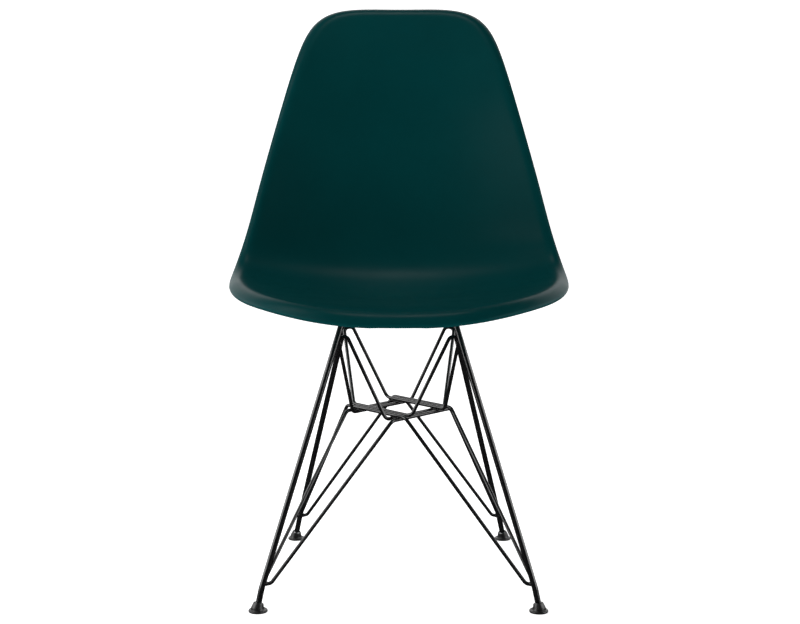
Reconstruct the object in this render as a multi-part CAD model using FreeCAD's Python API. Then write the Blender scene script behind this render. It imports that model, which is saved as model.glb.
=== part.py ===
import FreeCAD, Part
import math
import os

# Shell chair on a welded wire base. Millimetres, +Z up, front at -Y, origin on the floor under
# the middle of the overall box.

V = FreeCAD.Vector
UP = V(0, 0, 1)
SIDES = {"left": -1, "right": 1}
ENDS = ("front", "rear")

# Shell: profile on the centreline, from the front lip to the top edge
PROFILE_LENGTH = 807.5
FRONT_HEADING = 4.5
SEAT_HEADING = -2.4
BACK_HEADING = 71.3
TOP_HEADING = 59.7
FRONT_BLEND = 110.0
BEND_START = 195.5
BEND_LENGTH = 280.0
LEAN_START = 496.0
LEAN_LENGTH = 300.0
PROFILE_STEPS = 400

# Shell: half widths, side rise and rim roll along the profile, each run from front to top. The
# roll falls away towards the edge as a power of the distance, to ROLL_TURN degrees at the edge
HALF_WIDTHS = (182.3, 246.7, 274.6, 235.6, 190.0, 146.2, 190.1)
SIDE_RISES = (18.8, 12.7, 52.9, 64.0, 53.7, 26.0, 17.8)
ROLL_WIDTHS = (29.5, 32.0, 25.0, 10.8, 19.8, 33.2)
ROLL_TURN = 57.6
ROLL_POWER = 3
OUTLINE_POWER = 3.88
DISH_POWER = 2
SHELL_THICKNESS = 5.0
GRID_POINTS = 33

# Base rods. An ankle is a bend just above a foot: inboard, towards the middle and up
ROD_DIAMETER = 8.0
WIRE_DIAMETER = 5.0
LIP_OVERHANG = 45.2
FOOT_DEPTH_SPACING = 359.5
FRONT_FOOT_HALF = 183.0
REAR_FOOT_HALF = 160.4
FRONT_ANKLE = (4.8, 3.3, 30.7)
REAR_ANKLE = (5.4, 5.8, 33.3)
FRONT_TOP_HALF = 75.3
REAR_TOP_HALF = 73.5
FRONT_TOP_INSET = 103.9
REAR_TOP_INSET = 118.2
TOP_BAR_Z = 372.0
ANKLE_RADIUS = 40.0
TOP_CORNER_RADIUS = 16.0

# Lattice of thin wires in the middle of the base
LATTICE_Z = 242.2
LATTICE_CENTRE = 169.8
LATTICE_HALF_WIDTH = 64.3
LATTICE_HALF_DEPTH = 78.4
WIRE_SPACING = 13.6
WIRE_RUN_ON = 13.4
WELD_BITE = 0.2
BRACE_BEND_RADIUS = 9.0
STRUT_BEND_RADIUS = 11.0

# Wire ends and arches welded to the side frames
FRONT_HOOK_Z = 36.0
REAR_HOOK_Z = 40.0
HOOK_REACH = 10.0
HOOK_RADIUS = 8.0
FRONT_ARCH_DROP = 22.0
REAR_ARCH_DROP = 25.5
ARCH_WIDTH = 13.0
ARCH_RADIUS = 6.8
ARCH_NESTLE = 1.85

# Seat mounting
LIP_RISE = 22.0
PLATE_THICKNESS = 2.5
PLATE_WIDTH = 24.0
SCREW_OFFSET = 11.0
SCREW_INSET = 17.0
PLATE_EDGE = 12.0
MOUNT_DIAMETER = 24.0
MOUNT_HEIGHT = 8.0
MOUNT_CHAMFER = 0.5
BOSS_DIAMETER = 20.0
BOSS_DRAFT = 1.0
INSERT_DIAMETER = 8.0
INSERT_LENGTH = 6.5
THREAD_DIAMETER = 6.0
THREAD_GAP = 0.05
SCREW_HOLE_GAP = 0.3
HEAD_DIAMETER = 11.5
HEAD_HEIGHT = 3.6
HEAD_ROUND = 1.2
DRIVE_SIDES = 6
DRIVE_WIDTH = 4.0
DRIVE_DEPTH = 2.2
WASHER_DIAMETER = 12.6
WASHER_THICKNESS = 1.6
SCREW_LENGTH = 17.0

# Self-levelling glides
BALL_Z = 7.8
BALL_RADIUS = 6.0
BALL_GAP = 0.3
ROD_SEAT_DEPTH = 2.5
NECK_BORE_GAP = 0.85
NECK_LENGTH = 5.8
NECK_TOP_RADIUS = 6.6
NECK_FOOT_RADIUS = 9.2
DISC_DIAMETER = 25.0
DISC_THICKNESS = 2.4
DISC_EDGE_RADIUS = 0.8


# Shell formula

def along(values, t):
    """Smooth curve through the run of values, t from 0 to 1 (Bernstein form)."""
    order = len(values) - 1
    total = 0.0
    for i, value in enumerate(values):
        total += math.comb(order, i) * (1 - t) ** (order - i) * t ** i * value
    return total


def ease(x):
    """Smooth step from 0 to 1 with no jump in curvature."""
    x = min(max(x, 0.0), 1.0)
    return x * x * x * (x * (6 * x - 15) + 10)


def heading(s):
    """Direction of the profile at arc length s, in radians above level."""
    angle = SEAT_HEADING
    angle += (FRONT_HEADING - SEAT_HEADING) * (1 - ease(s / FRONT_BLEND))
    angle += (BACK_HEADING - SEAT_HEADING) * ease((s - BEND_START) / BEND_LENGTH)
    angle += (TOP_HEADING - BACK_HEADING) * ease((s - LEAN_START) / LEAN_LENGTH)
    return math.radians(angle)


def make_profile():
    """Centreline points (y, z, heading) at even arc lengths."""
    step = PROFILE_LENGTH / PROFILE_STEPS
    points = [(0.0, TOP_BAR_Z + LIP_RISE, heading(0.0))]
    for i in range(PROFILE_STEPS):
        y, z, angle = points[-1]
        following = heading((i + 1) * step)
        middle = (angle + following) / 2
        points.append((y + step * math.cos(middle), z + step * math.sin(middle), following))
    return points


def shell_point(profile, a, b):
    """Upper surface at lateral place a and lengthwise place b, each from -1 to 1."""
    t = (b + 1) / 2
    place = min(max(t, 0.0), 1.0) * PROFILE_STEPS
    i = min(int(place), PROFILE_STEPS - 1)
    y, z, angle = (p + (q - p) * (place - i) for p, q in zip(profile[i], profile[i + 1]))
    half_width = along(HALF_WIDTHS, t)
    n = OUTLINE_POWER
    reach = (abs(a) ** n + abs(b) ** n) ** (1 / n)
    slope = math.hypot(abs(a) ** (n - 1) / half_width, abs(b) ** (n - 1) * 2 / PROFILE_LENGTH)
    inside = (1 - reach) * reach ** (n - 1) / slope if slope > 0 else PROFILE_LENGTH
    width = along(ROLL_WIDTHS, t)
    share = max(1 - inside / width, 0.0)
    drop = width * math.tan(math.radians(ROLL_TURN)) / ROLL_POWER * share ** ROLL_POWER
    rise = along(SIDE_RISES, t) * abs(a) ** DISH_POWER - drop
    return V(a * half_width, y - math.sin(angle) * rise, z + math.cos(angle) * rise)


def shell_normal(profile, a, b):
    """Unit normal of the upper surface, towards the sitter."""
    step = 1e-3
    a0 = min(max(a, step - 1), 1 - step)
    b0 = min(max(b, step - 1), 1 - step)
    across = shell_point(profile, a0 + step, b0) - shell_point(profile, a0 - step, b0)
    length = shell_point(profile, a0, b0 + step) - shell_point(profile, a0, b0 - step)
    normal = across.cross(length)
    normal.normalize()
    return normal


def outline_place(u, v):
    """Square grid place (u, v) moved onto the rounded outline of the shell."""
    n = OUTLINE_POWER
    return u * (1 - abs(v) ** n / 2) ** (1 / n), v * (1 - abs(u) ** n / 2) ** (1 / n)


def shell_surface(profile, origin_y, depth):
    """Smooth surface at a depth below the upper surface."""
    steps = [math.sin(math.pi / 2 * (2 * i / (GRID_POINTS - 1) - 1)) for i in range(GRID_POINTS)]
    rows = []
    for u in steps:
        row = []
        for v in steps:
            a, b = outline_place(u, v)
            point = shell_point(profile, a, b) - shell_normal(profile, a, b) * depth
            row.append(point - V(0, origin_y, 0))
        rows.append(row)
    surface = Part.BSplineSurface()
    surface.interpolate(rows)
    return surface


def side_edges(surface):
    """The four border curves of a surface."""
    u0, u1, v0, v1 = surface.bounds()
    curves = (surface.uIso(u0), surface.uIso(u1), surface.vIso(v0), surface.vIso(v1))
    return [curve.toShape() for curve in curves]


def shell_skin(profile, origin_y):
    """Closed solid between the upper surface and its offset."""
    upper = shell_surface(profile, origin_y, 0)
    lower = shell_surface(profile, origin_y, SHELL_THICKNESS)
    faces = [upper.toShape(), lower.toShape()]
    for top_edge, low_edge in zip(side_edges(upper), side_edges(lower)):
        faces.append(Part.makeRuledSurface(top_edge, low_edge))
    skin = Part.makeShell(faces)
    skin.sewShape()
    solid = Part.makeSolid(skin)
    if solid.Volume < 0:
        solid.reverse()
    return solid


# Rods and wires

def rounded_path(points, radii):
    """Straight runs joined by tangent arcs, one radius per inner point."""
    edges = []
    start = points[0]
    for before, corner, after, radius in zip(points, points[1:], points[2:], radii):
        back = (before - corner).normalize()
        ahead = (after - corner).normalize()
        half = back.getAngle(ahead) / 2
        tangent = radius / math.tan(half)
        middle = (back + ahead).normalize() * (radius / math.sin(half) - radius)
        enter = corner + back * tangent
        leave = corner + ahead * tangent
        edges.append(Part.LineSegment(start, enter).toShape())
        edges.append(Part.Arc(enter, corner + middle, leave).toShape())
        start = leave
    edges.append(Part.LineSegment(start, points[-1]).toShape())
    return Part.Wire(edges)


def rod_along(points, radii, diameter):
    """Round rod swept along a rounded path."""
    path = rounded_path(points, radii)
    circle = Part.Circle(points[0], points[1] - points[0], diameter / 2)
    sweep = Part.BRepOffsetAPI.MakePipeShell(path)
    sweep.add(Part.Wire([circle.toShape()]))
    sweep.build()
    sweep.makeSolid()
    return sweep.shape()


def closed_wire(points, radius_list, diameter):
    """Closed rod made as two half loops that meet in the middle of straight runs."""
    count = len(points)
    half = count // 2
    seams = [(points[-1] + points[0]) / 2, (points[half - 1] + points[half]) / 2]
    first = rod_along([seams[0]] + points[:half] + [seams[1]], radius_list[:half], diameter)
    second = rod_along([seams[1]] + points[half:] + [seams[0]], radius_list[half:], diameter)
    return first.fuse(second).removeSplitter()


def mirrored(point, side):
    return V(point.x * SIDES[side], point.y, point.z)


def frame_points(feet):
    """Corners of the right-hand side frame, from the front foot to the rear foot."""
    front_y, rear_y = feet
    top_front = V(FRONT_TOP_HALF, front_y + FRONT_TOP_INSET, TOP_BAR_Z)
    top_rear = V(REAR_TOP_HALF, rear_y - REAR_TOP_INSET, TOP_BAR_Z)
    front_ankle = V(FRONT_FOOT_HALF - FRONT_ANKLE[0], front_y + FRONT_ANKLE[1], FRONT_ANKLE[2])
    rear_ankle = V(REAR_FOOT_HALF - REAR_ANKLE[0], rear_y - REAR_ANKLE[1], REAR_ANKLE[2])
    front_ball = V(FRONT_FOOT_HALF, front_y, BALL_Z)
    rear_ball = V(REAR_FOOT_HALF, rear_y, BALL_Z)
    return {"front": (front_ball, front_ankle, top_front), "rear": (rear_ball, rear_ankle, top_rear)}


def foot_axis(frame, end):
    """Direction of the rod at its foot, upwards."""
    ball, ankle, _ = frame[end]
    return (ankle - ball).normalize()


def side_frame(frame, side):
    corners = []
    for end in ENDS:
        ball, ankle, top = frame[end]
        foot = ball - foot_axis(frame, end) * ROD_SEAT_DEPTH
        run = [foot, ankle, top]
        corners += run if end == "front" else run[::-1]
    points = [mirrored(point, side) for point in corners]
    radii = (ANKLE_RADIUS, TOP_CORNER_RADIUS, TOP_CORNER_RADIUS, ANKLE_RADIUS)
    return rod_along(points, radii, ROD_DIAMETER)


def leg_at(frame, side, end, z):
    """Centre of the thick leg at height z, and its upward direction."""
    _, ankle, top = frame[end]
    axis = top - ankle
    point = ankle + axis * ((z - ankle.z) / axis.z)
    return mirrored(point, side), mirrored(axis.normalize(), side)


def lattice_ends(front_y):
    """Bend points of the eight flats. Keys are (end, side, brace or strut, side or end corner)."""
    half = V(LATTICE_HALF_WIDTH, 0, 0)
    deep = V(0, -LATTICE_HALF_DEPTH, 0)
    run = (deep + half).normalize()
    neighbour = V(run.x, -run.y, 0)
    inward = V(-run.y, run.x, 0) * WIRE_SPACING
    centre = V(0, front_y + LATTICE_CENTRE, 0)
    level_step = WIRE_DIAMETER - WELD_BITE
    outer = (half * -1 - run * WIRE_RUN_ON, deep + run * WIRE_RUN_ON)
    side_cross = crossing(half * -1 + inward, run, half * -1, neighbour)
    end_cross = crossing(deep + inward, run, deep, neighbour)
    inner = (side_cross - run * WIRE_RUN_ON, end_cross + run * WIRE_RUN_ON)
    ends = {}
    for end, side in (("front", "left"), ("front", "right"), ("rear", "left"), ("rear", "right")):
        flip = V(-SIDES[side], 1 if end == "front" else -1, 0)
        upper = (end == "front") == (side == "left")
        z = LATTICE_Z if upper else LATTICE_Z - level_step
        for kind, pair in (("strut", outer), ("brace", inner)):
            for corner, point in zip(("side", "end"), pair):
                ends[end, side, kind, corner] = centre + V(point.x * flip.x, point.y * flip.y, z)
    return ends


def crossing(start, direction, other, other_direction):
    """Where two level lines cross, each given by a point and a direction."""
    gap = other - start
    return start + direction * (gap.cross(other_direction).z / direction.cross(other_direction).z)


def strut_wire(frame, ends, end, side):
    """Thin wire from a front foot over one side of the lattice to the opposite rear foot."""
    other = "right" if side == "left" else "left"
    front_side, rear_side = (other, side) if end == "front" else (side, other)
    stops = []
    for foot_end, foot_side in (("front", front_side), ("rear", rear_side)):
        hook_z = FRONT_HOOK_Z if foot_end == "front" else REAR_HOOK_Z
        leg, _ = leg_at(frame, foot_side, foot_end, hook_z)
        crosswise = foot_end == end
        reach = V(-SIDES[foot_side], 0, 0) if crosswise else V(0, 1 if foot_end == "front" else -1, 0)
        weld = leg + reach * (ROD_DIAMETER / 2 - WELD_BITE)
        stops.append((weld, leg + reach * HOOK_REACH))
    near, far = ("end", "side") if end == "front" else ("side", "end")
    flat = [ends[end, side, "strut", near], ends[end, side, "strut", far]]
    points = [stops[0][0], stops[0][1]] + flat + [stops[1][1], stops[1][0]]
    radii = (HOOK_RADIUS, STRUT_BEND_RADIUS, STRUT_BEND_RADIUS, HOOK_RADIUS)
    return rod_along(points, radii, WIRE_DIAMETER)


def arch_corners(frame, side, end):
    """Inner and outer top corners of the arch that leans on the leg under the seat."""
    z = TOP_BAR_Z - (FRONT_ARCH_DROP if end == "front" else REAR_ARCH_DROP)
    leg, axis = leg_at(frame, side, end, z)
    towards = V(0, 1 if end == "front" else -1, 0)
    away = (towards - axis * towards.dot(axis)).normalize()
    outer = leg + away * ((ROD_DIAMETER + WIRE_DIAMETER) / 2 - WELD_BITE - ARCH_NESTLE)
    return outer + V(-SIDES[side] * ARCH_WIDTH, 0, 0), outer


def brace_loop(frame, ends, front_flat_side):
    """Closed thin wire: two flats of the lattice joined over two arches."""
    other = "right" if front_flat_side == "left" else "left"
    front_arch = arch_corners(frame, other, "front")
    rear_arch = arch_corners(frame, front_flat_side, "rear")
    points = [
        ends["front", front_flat_side, "brace", "side"],
        ends["front", front_flat_side, "brace", "end"],
        front_arch[0],
        front_arch[1],
        ends["rear", other, "brace", "side"],
        ends["rear", other, "brace", "end"],
        rear_arch[0],
        rear_arch[1],
    ]
    radii = (BRACE_BEND_RADIUS, BRACE_BEND_RADIUS, ARCH_RADIUS, ARCH_RADIUS) * 2
    return closed_wire(points, radii, WIRE_DIAMETER)


# Seat mounting

def screw_places(frame):
    """Screw axes as points at the height of the top bars, keyed by (end, side)."""
    front, rear = frame["front"][2], frame["rear"][2]
    places = {}
    for end in ENDS:
        y = front.y + SCREW_INSET if end == "front" else rear.y - SCREW_INSET
        share = (y - front.y) / (rear.y - front.y)
        x = front.x + (rear.x - front.x) * share - SCREW_OFFSET
        for side in SIDES:
            places[end, side] = mirrored(V(x, y, TOP_BAR_Z), side)
    return places


PLATE_LOW_Z = TOP_BAR_Z + ROD_DIAMETER / 2
MOUNT_LOW_Z = PLATE_LOW_Z + PLATE_THICKNESS
BOSS_LOW_Z = MOUNT_LOW_Z + MOUNT_HEIGHT


def standing(place, z, radius, height):
    """Upright cylinder at a screw place."""
    return Part.makeCylinder(radius, height, V(place.x, place.y, z))


def mount_plate(place):
    """Round-ended steel tab across the top bar, with its screw hole."""
    side = SIDES["left"] if place.x < 0 else SIDES["right"]
    bar_side = place.x + side * (SCREW_OFFSET + ROD_DIAMETER / 2)
    low_x = min(place.x, bar_side)
    bar_part = Part.makeBox(abs(bar_side - place.x), PLATE_WIDTH, PLATE_THICKNESS,
                            V(low_x, place.y - PLATE_WIDTH / 2, PLATE_LOW_Z))
    round_part = standing(place, PLATE_LOW_Z, PLATE_EDGE, PLATE_THICKNESS)
    hole = standing(place, PLATE_LOW_Z, THREAD_DIAMETER / 2 + SCREW_HOLE_GAP, PLATE_THICKNESS)
    return bar_part.fuse(round_part).cut(hole).removeSplitter()


def shock_mount(place):
    disc = standing(place, MOUNT_LOW_Z, MOUNT_DIAMETER / 2, MOUNT_HEIGHT)
    rims = [edge for edge in disc.Edges if isinstance(edge.Curve, Part.Circle)]
    disc = disc.makeChamfer(MOUNT_CHAMFER, rims)
    hole = standing(place, MOUNT_LOW_Z, THREAD_DIAMETER / 2 + SCREW_HOLE_GAP, MOUNT_HEIGHT)
    return disc.cut(hole)


def threaded_insert(place):
    body = standing(place, BOSS_LOW_Z, INSERT_DIAMETER / 2, INSERT_LENGTH)
    return body.cut(standing(place, BOSS_LOW_Z, THREAD_DIAMETER / 2 + THREAD_GAP, INSERT_LENGTH))


def screw_washer(place):
    z = PLATE_LOW_Z - WASHER_THICKNESS
    ring = standing(place, z, WASHER_DIAMETER / 2, WASHER_THICKNESS)
    return ring.cut(standing(place, z, THREAD_DIAMETER / 2 + SCREW_HOLE_GAP, WASHER_THICKNESS))


def mounting_screw(place):
    """Pan-head screw with a hexagon socket, driven from below."""
    head_top = PLATE_LOW_Z - WASHER_THICKNESS
    head = standing(place, head_top - HEAD_HEIGHT, HEAD_DIAMETER / 2, HEAD_HEIGHT)
    low_rim = [edge for edge in head.Edges if edge.BoundBox.ZMax < head_top - HEAD_HEIGHT / 2]
    head = head.makeFillet(HEAD_ROUND, low_rim)
    shank = standing(place, head_top, THREAD_DIAMETER / 2, SCREW_LENGTH)
    corners = []
    corner_reach = DRIVE_WIDTH / 2 / math.cos(math.pi / DRIVE_SIDES)
    for i in range(DRIVE_SIDES + 1):
        angle = 2 * math.pi * i / DRIVE_SIDES
        spoke = V(math.cos(angle), math.sin(angle), 0) * corner_reach
        corners.append(V(place.x, place.y, head_top - HEAD_HEIGHT) + spoke)
    socket = Part.Face(Part.makePolygon(corners)).extrude(UP * DRIVE_DEPTH)
    return head.fuse(shank).cut(socket).removeSplitter()


def seat_shell(profile, origin_y, places):
    """Moulded shell with four drafted bosses and blind holes for the inserts."""
    shell = shell_skin(profile, origin_y)
    hole_radius = INSERT_DIAMETER / 2
    highest = shell.BoundBox.ZMax
    for place in places.values():
        column = Part.makeLine(V(place.x, place.y, BOSS_LOW_Z), V(place.x, place.y, highest))
        surface_z = max(vertex.Z for vertex in column.common(shell).Vertexes)
        height = surface_z - SHELL_THICKNESS / 2 - BOSS_LOW_Z
        boss = Part.makeCone(BOSS_DIAMETER / 2, BOSS_DIAMETER / 2 + BOSS_DRAFT, height,
                             V(place.x, place.y, BOSS_LOW_Z))
        shell = shell.fuse(boss)
    for place in places.values():
        shell = shell.cut(standing(place, BOSS_LOW_Z, hole_radius, INSERT_LENGTH))
    return shell


# Glides

def glide_ball(frame, side, end):
    """Ball pressed on the rod's foot."""
    ball = mirrored(frame[end][0], side)
    axis = mirrored(foot_axis(frame, end), side)
    seat = Part.makeCylinder(ROD_DIAMETER / 2, 2 * BALL_RADIUS, ball - axis * ROD_SEAT_DEPTH, axis)
    return Part.makeSphere(BALL_RADIUS, ball).cut(seat)


def glide(frame, side, end):
    """Level disc with a leaning neck that holds the ball."""
    ball = mirrored(frame[end][0], side)
    axis = mirrored(foot_axis(frame, end), side)
    disc = Part.makeCylinder(DISC_DIAMETER / 2, DISC_THICKNESS, V(ball.x, ball.y, 0))
    top_rim = [edge for edge in disc.Edges if edge.BoundBox.ZMin > DISC_THICKNESS / 2]
    disc = disc.makeFillet(DISC_EDGE_RADIUS, top_rim)
    neck_height = NECK_LENGTH + BALL_Z
    neck = Part.makeCone(NECK_FOOT_RADIUS, NECK_TOP_RADIUS, neck_height, ball - axis * BALL_Z, axis)
    slab = Part.makeBox(2 * DISC_DIAMETER, 2 * DISC_DIAMETER, DISC_DIAMETER,
                        V(ball.x - DISC_DIAMETER, ball.y - DISC_DIAMETER, DISC_THICKNESS / 2))
    body = disc.fuse(neck.common(slab))
    socket = Part.makeSphere(BALL_RADIUS + BALL_GAP, ball)
    bore = Part.makeCylinder(ROD_DIAMETER / 2 + NECK_BORE_GAP, 2 * NECK_LENGTH, ball, axis)
    return body.cut(socket).cut(bore).removeSplitter()


# Assembly

def build_nodes():
    profile = make_profile()
    lip_y = shell_point(profile, 0, -1).y
    top_y = shell_point(profile, 0, 1).y
    origin_y = (lip_y + top_y) / 2
    front_y = lip_y - origin_y + LIP_OVERHANG
    frame = frame_points((front_y, front_y + FOOT_DEPTH_SPACING))
    ends = lattice_ends(front_y)
    places = screw_places(frame)
    nodes = {
        "seat_shell": seat_shell(profile, origin_y, places),
        "threaded_inserts": Part.makeCompound([threaded_insert(p) for p in places.values()]),
        "mounting_screws": Part.makeCompound([mounting_screw(p) for p in places.values()]),
        "screw_washers": Part.makeCompound([screw_washer(p) for p in places.values()]),
        "brace_loop_high": brace_loop(frame, ends, "left"),
        "brace_loop_low": brace_loop(frame, ends, "right"),
    }
    for side in SIDES:
        nodes["side_frame_" + side] = side_frame(frame, side)
        for end in ENDS:
            corner = end + "_" + side
            nodes["strut_wire_" + corner] = strut_wire(frame, ends, end, side)
            nodes["mount_plate_" + corner] = mount_plate(places[end, side])
            nodes["shock_mount_" + corner] = shock_mount(places[end, side])
            nodes["glide_ball_" + corner] = glide_ball(frame, side, end)
            nodes["glide_" + corner] = glide(frame, side, end)
    return nodes


os.makedirs("parts", exist_ok=True)
for name, shape in build_nodes().items():
    shape.exportStep("parts/" + name + ".step")
    box = shape.BoundBox
    print(name, "valid" if shape.isValid() else "NOT VALID", "solids", len(shape.Solids),
          "volume %.0f" % shape.Volume,
          "x %.1f..%.1f y %.1f..%.1f z %.1f..%.1f" % (
              box.XMin, box.XMax, box.YMin, box.YMax, box.ZMin, box.ZMax))
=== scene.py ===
# %% [markdown]
# # A moulded plastic shell chair on a welded wire base
#
# This lesson dresses a chair whose construction is already fixed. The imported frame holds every
# piece at its real size, and the script builds the surfaces that the eye sees around it: the
# dished shell with its rolled rim, the bent rods and thin wires, the turned glides, the welds
# and the screws underneath. Lengths are in metres, +Z is up and the chair faces -Y.

# %% Load the frame
import math

import bpy
import numpy as np
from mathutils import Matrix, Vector


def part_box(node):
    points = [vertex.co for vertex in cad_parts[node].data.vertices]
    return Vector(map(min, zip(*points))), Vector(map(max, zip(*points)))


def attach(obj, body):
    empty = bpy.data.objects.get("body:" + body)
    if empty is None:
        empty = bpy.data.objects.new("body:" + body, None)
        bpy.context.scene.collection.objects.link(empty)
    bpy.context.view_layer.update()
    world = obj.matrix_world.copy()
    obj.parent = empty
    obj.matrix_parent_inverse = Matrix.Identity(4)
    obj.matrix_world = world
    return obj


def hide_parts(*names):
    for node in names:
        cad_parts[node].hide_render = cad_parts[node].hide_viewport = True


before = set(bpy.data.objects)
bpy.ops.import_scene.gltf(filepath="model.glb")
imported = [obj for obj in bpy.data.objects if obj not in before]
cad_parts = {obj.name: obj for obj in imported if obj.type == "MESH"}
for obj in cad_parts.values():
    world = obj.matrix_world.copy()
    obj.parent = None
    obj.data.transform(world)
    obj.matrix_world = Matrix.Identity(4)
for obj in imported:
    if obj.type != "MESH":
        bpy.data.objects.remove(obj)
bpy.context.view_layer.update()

# %% [markdown]
# ## The camera first
#
# The photograph was taken from the front, a little above the seat, with a fairly long lens. A
# long lens keeps the legs from splaying too much in the picture. The place of the camera is
# measured from the feet of the front legs, because those are the sharpest marks in the picture.

# %% Camera
PHOTO_WIDTH = 800
FOCAL_PIXELS = 1419.9
SENSOR_WIDTH = 36.0
GLIDE_RADIUS = 0.0125
FEET_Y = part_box("glide_front_left")[0].y + GLIDE_RADIUS
CAMERA_PLACE = Vector((0.0084, FEET_Y - 1.8007, 0.5827))
CAMERA_TILT = math.radians(6.0087)
CAMERA_TURN = math.radians(0.1990)


def make_camera():
    """A camera at the photograph's place, looking along its axis."""
    data = bpy.data.cameras.new("photo_camera")
    data.sensor_width = SENSOR_WIDTH
    data.lens = SENSOR_WIDTH * FOCAL_PIXELS / PHOTO_WIDTH
    camera = bpy.data.objects.new("photo_camera", data)
    camera.location = CAMERA_PLACE
    camera.rotation_euler = (math.pi / 2 - CAMERA_TILT, 0, CAMERA_TURN)
    bpy.context.scene.collection.objects.link(camera)
    bpy.context.scene.camera = camera
    return camera


camera = make_camera()
print("lens %.1f mm" % camera.data.lens)

# %% [markdown]
# ## Helpers for node trees
#
# Every finish and every repeated piece is a small network of nodes. A few short helpers add and
# link nodes, start and end a Geometry Nodes tree, and turn its result into a plain mesh.


# %% Node helpers
def add_node(tree, kind, inputs=None, **settings):
    """Adds a node, sets its properties and the default values of its inputs."""
    node = tree.nodes.new(kind)
    for name, value in settings.items():
        setattr(node, name, value)
    for name, value in (inputs or {}).items():
        node.inputs[name].default_value = value
    return node


def link_nodes(tree, *ends):
    """Links pairs of sockets: from, to, from, to."""
    for start, end in zip(ends[::2], ends[1::2]):
        tree.links.new(start, end)


def wire_up(tree, *links):
    """Links nodes, each link given as from node, output, to node, input."""
    for start, output, end, entry in links:
        tree.links.new(start.outputs[output], end.inputs[entry])


def geometry_tree(name, sizes):
    """A Geometry Nodes tree with named inputs. Sizes holds (label, socket kind, default)."""
    tree = bpy.data.node_groups.new(name, "GeometryNodeTree")
    tree.interface.new_socket("Geometry", in_out="INPUT", socket_type="NodeSocketGeometry")
    for label, kind, default in sizes:
        socket = tree.interface.new_socket(label, in_out="INPUT", socket_type=kind)
        if default is not None:
            socket.default_value = default
    tree.interface.new_socket("Material", in_out="INPUT", socket_type="NodeSocketMaterial")
    tree.interface.new_socket("Geometry", in_out="OUTPUT", socket_type="NodeSocketGeometry")
    return tree, tree.nodes.new("NodeGroupInput"), tree.nodes.new("NodeGroupOutput")


def finish_tree(tree, entry, leaving, geometry):
    """Ends a tree with Realize Instances and Set Material."""
    real = add_node(tree, "GeometryNodeRealizeInstances")
    paint = add_node(tree, "GeometryNodeSetMaterial")
    link_nodes(tree, geometry, real.inputs["Geometry"])
    wire_up(tree, (real, "Geometry", paint, "Geometry"), (entry, "Material", paint, "Material"),
            (paint, "Geometry", leaving, "Geometry"))


def show(name, mesh):
    """Puts a mesh into the scene as a new object at the origin."""
    thing = bpy.data.objects.new(name, mesh)
    bpy.context.scene.collection.objects.link(thing)
    return thing


def grow(name, seed_mesh, tree, values):
    """Runs a Geometry Nodes tree on a seed mesh and returns the result as a plain object."""
    seed = show(name + "_seed", seed_mesh)
    modifier = seed.modifiers.new("grow", "NODES")
    modifier.node_group = tree
    for item in tree.interface.items_tree:
        if item.in_out == "INPUT" and item.name in values:
            modifier[item.identifier] = values[item.name]
    evaluated = seed.evaluated_get(bpy.context.evaluated_depsgraph_get())
    mesh = bpy.data.meshes.new_from_object(evaluated)
    mesh.name = name
    bpy.data.objects.remove(seed)
    return show(name, mesh)


print("helpers ready")

# %% [markdown]
# ## Finishes
#
# The shell is dyed polypropylene with a satin face. Up close it has a very fine moulded grain,
# faint flow shading in the colour, and a roughness that varies a little where it has been
# handled. All of that comes from noise on Object coordinates, so the grain keeps its real size
# on every piece and doesn't slide when the camera moves. Noise scales are in waves per metre.


# %% Finish helpers
def new_finish(name):
    """A material with an empty node tree, its shader and its object coordinates."""
    material = bpy.data.materials.new(name)
    material.use_nodes = True
    tree = material.node_tree
    shader = tree.nodes["Principled BSDF"]
    place = add_node(tree, "ShaderNodeTexCoord")
    return material, tree, shader, place.outputs["Object"]


def noise_on(tree, coordinates, scale, detail, roughness=0.5):
    """Noise of a given scale and detail."""
    node = add_node(tree, "ShaderNodeTexNoise",
                    {"Scale": scale, "Detail": detail, "Roughness": roughness})
    link_nodes(tree, coordinates, node.inputs["Vector"])
    return node.outputs["Fac"]


def spread(tree, value, low, high, from_low=0.3, from_high=0.7):
    """Maps a noise value onto a range."""
    node = add_node(tree, "ShaderNodeMapRange",
                    {"From Min": from_low, "From Max": from_high, "To Min": low, "To Max": high})
    link_nodes(tree, value, node.inputs["Value"])
    return node.outputs["Result"]


def mix_colours(tree, factor, first, second):
    """A colour between two, by a factor socket."""
    node = add_node(tree, "ShaderNodeMix", data_type="RGBA")
    colour_a, colour_b = [s for s in node.inputs if s.type == "RGBA"]
    colour_a.default_value = (*first, 1)
    colour_b.default_value = (*second, 1)
    link_nodes(tree, factor, node.inputs["Factor"])
    return [s for s in node.outputs if s.type == "RGBA"][0]


def bump_from(tree, height, depth, previous=None):
    """A bump of a real depth in metres, on top of an earlier one."""
    node = add_node(tree, "ShaderNodeBump", {"Strength": 1.0, "Distance": depth})
    link_nodes(tree, height, node.inputs["Height"])
    if previous is not None:
        link_nodes(tree, previous, node.inputs["Normal"])
    return node.outputs["Normal"]


print("finish helpers ready")

# %% Shell plastic
SHELL_COLOUR = (0.0006, 0.0415, 0.0435)
SHELL_COLOUR_LIGHT = (0.0008, 0.0460, 0.0482)
SHELL_SPECULAR = 0.03
RIPPLE_DEPTH, GRAIN_DEPTH = 0.00004, 0.000012


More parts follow.
